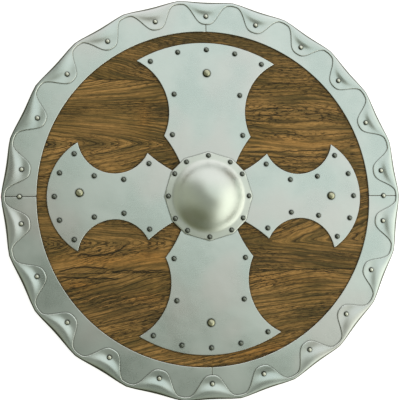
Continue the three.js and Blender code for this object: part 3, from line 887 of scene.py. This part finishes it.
def add_rivets():
    """The separate rivets, each from its peened tail to its head."""
    def rivet(name, size, seat, place, material, slot, sides=SMALL_SIDES):
        turned(name + "_head", rivet_profile(size, seat), place, material, slot, name, sides=sides)

    for i in range(LOBES):
        rivet("rim_rivet_%02d" % (i + 1), SMALL_RIVET, BAND_TOP - DIP_DEPTH,
              polar(RIM_RIVET_RADIUS, math.pi / 2 + i * PITCH), RIM_HEAD, "rim_rivet_steel")
    for i, angle in enumerate((math.pi, 0.0)):
        rivet("seam_rivet_%02d" % (i + 1), SMALL_RIVET, PLATE_TOP,
              polar(RIM_RIVET_RADIUS, angle), RIM_HEAD, "rim_rivet_steel")
    for i, angle in enumerate(boss_rivet_angles()):
        rivet("boss_rivet_%02d" % (i + 1), SMALL_RIVET, BAND_TOP,
              polar(BOSS_RIVET_RADIUS, angle), DARK_HEAD, "dark_rivet_steel")
    for i in range(len(ARMS)):
        name = "large_rivet_%02d" % (i + 1)
        low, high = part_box(name)
        rivet(name, LARGE_RIVET, PLATE_TOP, (low + high) / 2, BRASS_HEAD, "brass", LARGE_SIDES)


# Boss

def flange_radius(angle):
    """Radius of the flange's twelve-sided edge."""
    corners = sorted(a % (2 * math.pi) for a in boss_rivet_angles())
    corners.append(corners[0] + 2 * math.pi)
    angle = angle % (2 * math.pi)
    if angle < corners[0]:
        angle += 2 * math.pi
    for a, b in zip(corners, corners[1:]):
        if a <= angle <= b:
            half = (b - a) / 2
            return FLANGE_RADIUS * math.cos(half) / math.cos(angle - (a + b) / 2)
    return FLANGE_RADIUS


def dome_rise(radius):
    """Height of the dome over the band's top: between an ellipse and a cone."""
    return (APEX - BAND_TOP) * (1 - (radius / DOME_RADIUS) ** 2) ** (DOME_FULLNESS / 2)


def dome_slope(radius):
    """How steeply the dome falls."""
    share = radius / DOME_RADIUS
    steepness = DOME_FULLNESS * share * (1 - share ** 2) ** (DOME_FULLNESS / 2 - 1)
    return (APEX - BAND_TOP) * steepness / DOME_RADIUS


def boss_height(radius):
    """Height of the boss's outer face over the band's top: dome, hollow foot and sloping flange."""
    if radius <= COVE_START:
        return dome_rise(radius)
    if radius >= COVE_END:
        return FLANGE_RISE * max(0.0, (FLANGE_RADIUS - radius) / (FLANGE_RADIUS - COVE_END)) ** FLANGE_FALL
    share = (radius - COVE_START) / (COVE_END - COVE_START)
    fall = dome_rise(COVE_START) - FLANGE_RISE
    power = dome_slope(COVE_START) * (COVE_END - COVE_START) / fall
    return FLANGE_RISE + fall * (1 - share) ** power


def inward(path, thickness):
    """The points of a profile moved down and in by a sheet's thickness."""
    moved = []
    for i, (r, z) in enumerate(path):
        r0, z0 = path[max(i - 1, 0)]
        r1, z1 = path[min(i + 1, len(path) - 1)]
        length = math.hypot(r1 - r0, z1 - z0)
        moved.append((max(r + (z1 - z0) / length * thickness, LEAST_INSIDE),
                      z - (r1 - r0) / length * thickness))
    return moved


def add_boss():
    """The hollow dome on its twelve-sided flange."""
    radii = [APEX_HOLE] + [COVE_START * i / DOME_STEPS for i in range(1, DOME_STEPS + 1)]
    radii += [COVE_START + (COVE_END - COVE_START) * i / COVE_STEPS for i in range(1, COVE_STEPS + 1)]
    rows = []
    for i in range(BOSS_SIDES):
        angle = 2 * math.pi * i / BOSS_SIDES
        edge = flange_radius(angle)
        width = edge - FLANGE_BEVEL - COVE_END
        flange = [COVE_END + width * k / FLANGE_STEPS for k in range(1, FLANGE_STEPS + 1)]
        path = [(r, BAND_TOP + boss_height(r)) for r in radii + flange]
        inside = inward(path[:-2], SHEET)
        path.append((edge, BAND_TOP - FLANGE_BEVEL))
        row = path + [(edge, BAND_BOTTOM)] + inside[::-1]
        rows.append([(r * math.cos(angle), r * math.sin(angle), z) for r, z in row])
    count = len(rows[0])
    vertices, faces = loft(rows, closed_columns=False)
    top = len(vertices)
    vertices += [(0, 0, APEX), (0, 0, APEX - SHEET)]
    for i in range(BOSS_SIDES):
        j = (i + 1) % BOSS_SIDES
        faces.append((top, i * count, j * count))
        faces.append((top + 1, j * count + count - 1, i * count + count - 1))
    piece = add_piece("boss_dome", vertices, faces, BOSS_STEEL, "steel", "boss")
    weld(piece.data)
    piece.data.shade_smooth()
    piece.data.set_sharp_from_angle(angle=BOSS_CREASE)


# Grip and boards

def add_grip():
    """The rounded bar across the hand hole, and its flat ends let into the boards' back."""
    half_width = (GRIP_HIGH.x - GRIP_LOW.x) / 2
    half_length = GRIP_HIGH.y
    tongue_top = BOARD_BOTTOM + TONGUE_HEIGHT
    rows = []
    for i in range(GRIP_STEPS + 1):
        y = -half_length + 2 * half_length * i / GRIP_STEPS
        bar = 1 - smooth_step((abs(y) - BAR_HALF) / BAR_SINK)
        top = tongue_top + (GRIP_HIGH.z - tongue_top) * bar
        waist = WAIST_DEPTH * bar * math.cos(math.pi * y / WAIST_LENGTH) ** 2
        power = BAR_POWER + (TONGUE_POWER - BAR_POWER) * (1 - bar)
        middle = (BOARD_BOTTOM + top) / 2
        rows.append([(x * half_width * (1 - waist), y, middle + z * (top - BOARD_BOTTOM) / 2)
                     for x, z in squared_circle(power)])
    vertices, faces = loft(rows, closed_rows=False)
    faces = [tuple(reversed(face)) for face in faces]
    faces.append(tuple(range(GRIP_SIDES)))
    faces.append(tuple(GRIP_STEPS * GRIP_SIDES + k for k in reversed(range(GRIP_SIDES))))
    piece = add_piece("grip_bar", vertices, faces, GRIP_WOOD, "grip_wood", "grip")
    piece.data.set_sharp_from_angle(angle=GRIP_CREASE)


def squared_circle(power):
    """Points of a circle of radius 1, squarer with a higher power."""
    for k in range(GRIP_SIDES):
        turn = 2 * math.pi * k / GRIP_SIDES
        x, z = math.cos(turn), math.sin(turn)
        yield math.copysign(abs(x) ** (2 / power), x), math.copysign(abs(z) ** (2 / power), z)


def smooth_step(value):
    """0 below 0, 1 above 1 and an even curve between."""
    value = min(1.0, max(0.0, value))
    return value * value * (3 - 2 * value)


def dress_boards():
    """Gives each board, carried over from the frame, its own oak."""
    for name, figure in FIGURES.items():
        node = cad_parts[name]
        node.data.materials.clear()
        node.data.materials.append(oak_material("oak_" + name, joints=JOINTS, **figure))


dress_boards()
add_band()
add_rim_plates()
for arm, (plate, turn) in ARMS.items():
    add_cross_plate(arm, plate, turn)
add_boss()
add_rivets()
add_grip()


# Stage: a pale floor, a sky that is brighter to the upper right, and one large soft light

FLOOR_SIZE = 6.0
FLOOR_COLOUR = (0.60, 0.60, 0.59)
FLOOR_GLOW = 0.8
FLOOR_SIDES = 64
COVERED = FLAT_RADIUS * 0.92
KEY_PLACE = (1.9, 1.3, 1.0)
KEY_SIZE = 3.2
KEY_POWER = 28
KEY_COLOUR = (1.0, 0.97, 0.90)


def floor_material(name, glow):
    g = Graph(name)
    g.shader.inputs["Emission Color"].default_value = (1, 1, 1, 1)
    g.shader.inputs["Emission Strength"].default_value = glow
    return g.finish(FLOOR_COLOUR, 0.9, Specular_IOR_Level=0.1)


def add_floor():
    """A pale floor that glows a little where the shield doesn't cover it, and so shows no hard shadow."""
    angles = [2 * math.pi * i / FLOOR_SIDES for i in range(FLOOR_SIDES)]
    far, circle = [[(*polar(radius, angle), 0.0) for angle in angles] for radius in (FLOOR_SIZE, COVERED)]
    around, quads = loft([far, circle], closed_rows=False)
    disc = [tuple(range(FLOOR_SIDES))]
    for name, vertices, faces, glow in (("floor", around, quads, FLOOR_GLOW),
                                        ("floor_covered", circle, disc, 0.0)):
        mesh = bpy.data.meshes.new(name)
        mesh.from_pydata(vertices, [], faces)
        mesh.materials.append(floor_material(name, glow))
        floor = bpy.data.objects.new(name, mesh)
        bpy.context.scene.collection.objects.link(floor)


# Sky: a slope overhead that the flat steel mirrors, with bright lights low on two sides and a dark
# low corner that the boss and the turned edge mirror
SKY_SLOPE = (0.50, 0.55, 0.67)
SKY_OVERHEAD = [(0.0, (0.52, 0.53, 0.42)), (0.40, (0.38, 0.40, 0.34)), (0.55, (0.18, 0.185, 0.155)),
                (0.62, (0.17, 0.165, 0.13)), (0.67, (0.58, 0.58, 0.46)), (0.75, (1.05, 1.10, 1.03)),
                (0.90, (1.06, 1.12, 1.08)), (1.0, (1.10, 1.12, 1.04))]
LOW_LIGHTS = [((0.95, -0.30, 0.0), (1.80, 1.80, 1.60)), ((0.17, 0.98, 0.0), (1.36, 1.33, 1.33))]
LIGHT_REACH = (0.42, 0.80)
DARK_WAY = (-0.40, -0.92, 0.0)
DARK_REACH = (0.50, 0.88)
SKY_DARK = (0.13, 0.135, 0.06)


def add_sky():
    world = bpy.data.worlds.new("sky")
    bpy.context.scene.world = world
    world.use_nodes = True
    nodes, links = world.node_tree.nodes, world.node_tree.links
    coordinates = nodes.new("ShaderNodeTexCoord").outputs["Generated"]

    def toward(direction):
        node = nodes.new("ShaderNodeVectorMath")
        node.operation = "DOT_PRODUCT"
        node.inputs[1].default_value = Vector(direction).normalized()
        links.new(coordinates, node.inputs[0])
        return node.outputs["Value"]

    def ramp(value, stops):
        node = nodes.new("ShaderNodeValToRGB")
        while len(node.color_ramp.elements) < len(stops):
            node.color_ramp.elements.new(0.5)
        for element, (position, colour) in zip(node.color_ramp.elements, stops):
            element.position = position
            element.color = (*colour, 1.0)
        links.new(value, node.inputs["Fac"])
        return node.outputs["Color"]

    def cover(under, way, reach, colour):
        """The sky so far, under a soft patch of one colour."""
        start, full = reach
        node = nodes.new("ShaderNodeMix")
        node.data_type = "RGBA"
        links.new(ramp(toward(way), [(start, (0, 0, 0)), (full, (1, 1, 1))]), node.inputs["Factor"])
        first, second = [socket for socket in node.inputs if socket.type == "RGBA"]
        links.new(under, first)
        second.default_value = (*colour, 1.0)
        return next(socket for socket in node.outputs if socket.type == "RGBA")

    sky = ramp(toward(SKY_SLOPE), SKY_OVERHEAD)
    for way, colour in LOW_LIGHTS:
        sky = cover(sky, way, LIGHT_REACH, colour)
    sky = cover(sky, DARK_WAY, DARK_REACH, SKY_DARK)
    links.new(sky, nodes["Background"].inputs["Color"])
    nodes["Background"].inputs["Strength"].default_value = 1.0


def add_key():
    """A large soft light for the wood. The steel mirrors only the sky."""
    data = bpy.data.lights.new("key", "AREA")
    data.size = KEY_SIZE
    data.energy = KEY_POWER
    data.color = KEY_COLOUR
    light = bpy.data.objects.new("key", data)
    light.location = KEY_PLACE
    light.rotation_euler = (-Vector(KEY_PLACE)).to_track_quat("-Z", "Y").to_euler()
    light.visible_glossy = False
    bpy.context.scene.collection.objects.link(light)


add_floor()
add_sky()
add_key()
bpy.context.scene.view_settings.view_transform = "Standard"
